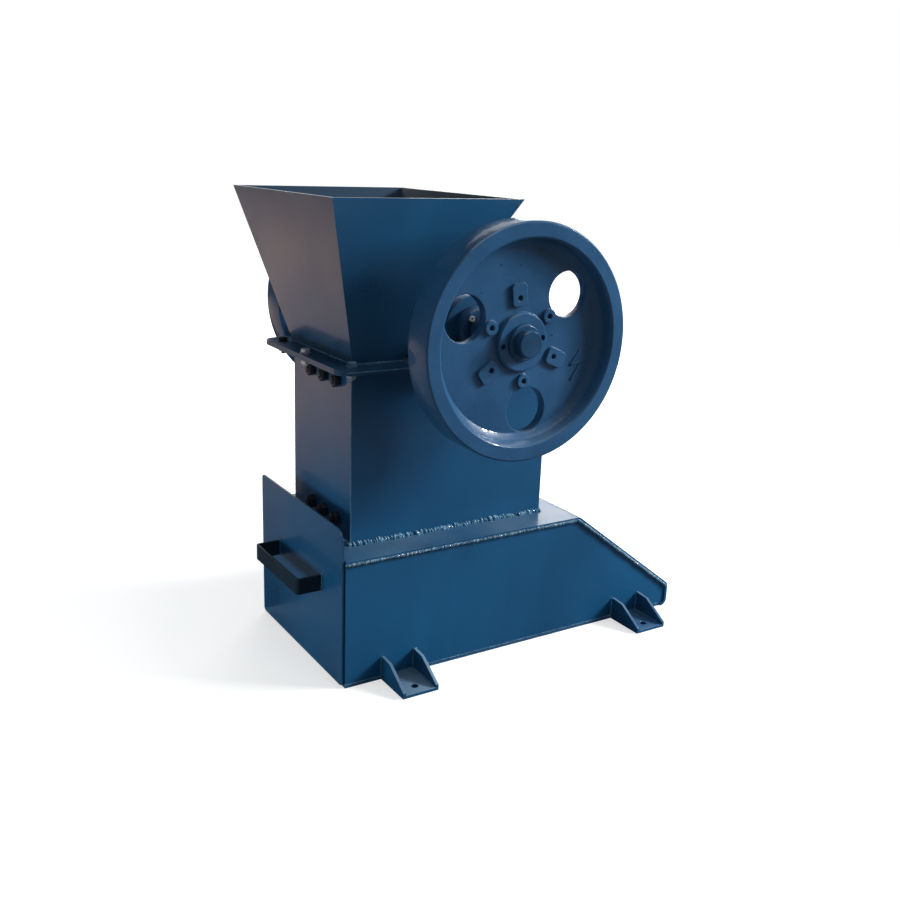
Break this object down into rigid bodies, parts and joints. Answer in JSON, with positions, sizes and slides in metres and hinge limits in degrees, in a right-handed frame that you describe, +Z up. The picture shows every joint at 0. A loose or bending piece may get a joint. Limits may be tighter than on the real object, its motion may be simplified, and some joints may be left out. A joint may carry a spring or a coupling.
{
  "type": "laboratory jaw crusher",
  "caption": "Small floor-standing jaw crusher with a flared hopper, two spoked flywheels on an eccentric shaft, ribbed jaws and a pull-out collecting drawer in a welded base.",
  "frame": {"origin": "on the ground, in the middle of the four anchor holes in the feet", "axes": "+X to the right along the shaft, seen from the drawer side; +Y to the rear, away from the drawer; +Z up"},
  "size_m": [0.53, 0.678, 0.702],
  "materials": {
    "blue_plate": "glossy dark steel-blue paint over welded plate",
    "blue_casting": "glossy dark steel-blue paint over rough casting",
    "jaw_steel": "bare manganese steel, ribbed and scuffed",
    "bright_steel": "turned steel",
    "spring_steel": "black oiled spring steel",
    "tray_plate": "dark steel-blue paint, scuffed inside"
  },
  "bodies": {
    "fixed_frame": {"base_top_plate": "blue_plate", "base_slope_cover": "blue_plate", "base_floor": "blue_plate", "base_side_left": "blue_plate", "base_side_right": "blue_plate", "foot_front_left": "blue_plate", "foot_front_right": "blue_plate", "foot_rear_left": "blue_plate", "foot_rear_right": "blue_plate", "front_wall": "blue_plate", "rear_wall": "blue_plate", "side_plate_left": "blue_plate", "side_plate_right": "blue_plate", "cheek_plate_left": "jaw_steel", "cheek_plate_right": "jaw_steel", "body_flange": "blue_plate", "hopper_flange": "blue_plate", "hopper_front": "blue_plate", "hopper_rear": "blue_plate", "hopper_left": "blue_plate", "hopper_right": "blue_plate", "fixed_jaw_plate": "jaw_steel", "toggle_seat": "blue_casting", "toggle_plate": "jaw_steel", "tension_rod": "bright_steel", "tension_spring": "spring_steel", "spring_washers": "bright_steel", "tension_nut": "bright_steel", "pillow_block_left": "blue_casting", "pillow_block_right": "blue_casting", "bearing_cap_left": "blue_casting", "bearing_cap_right": "blue_casting"},
    "rotor": {"eccentric_shaft": "bright_steel", "flywheel_left": "blue_casting", "flywheel_right": "blue_casting", "collar_left": "bright_steel", "collar_right": "bright_steel"},
    "swing_arm": {"swing_jaw": "blue_casting", "swing_jaw_plate": "jaw_steel"},
    "drawer": {"drawer_front": "blue_plate", "drawer_tray": "tray_plate", "drawer_handle": "blue_plate"}
  },
  "joints": [
    {"name": "shaft_spin", "type": "hinge", "parent": "fixed_frame", "child": "rotor", "pos_m": [0, -0.0945, 0.516], "axis": [1, 0, 0], "continuous": true},
    {"name": "swing_orbit", "type": "hinge", "parent": "rotor", "child": "swing_arm", "pos_m": [0, -0.0945, 0.511], "axis": [1, 0, 0], "continuous": true},
    {"name": "drawer_slide", "type": "slide", "parent": "fixed_frame", "child": "drawer", "axis": [0, -1, 0], "range_m": [0, 0.36]}
  ],
  "couplings": [
    {"joint": "swing_orbit", "follows": "shaft_spin", "ratio": -1}
  ]
}
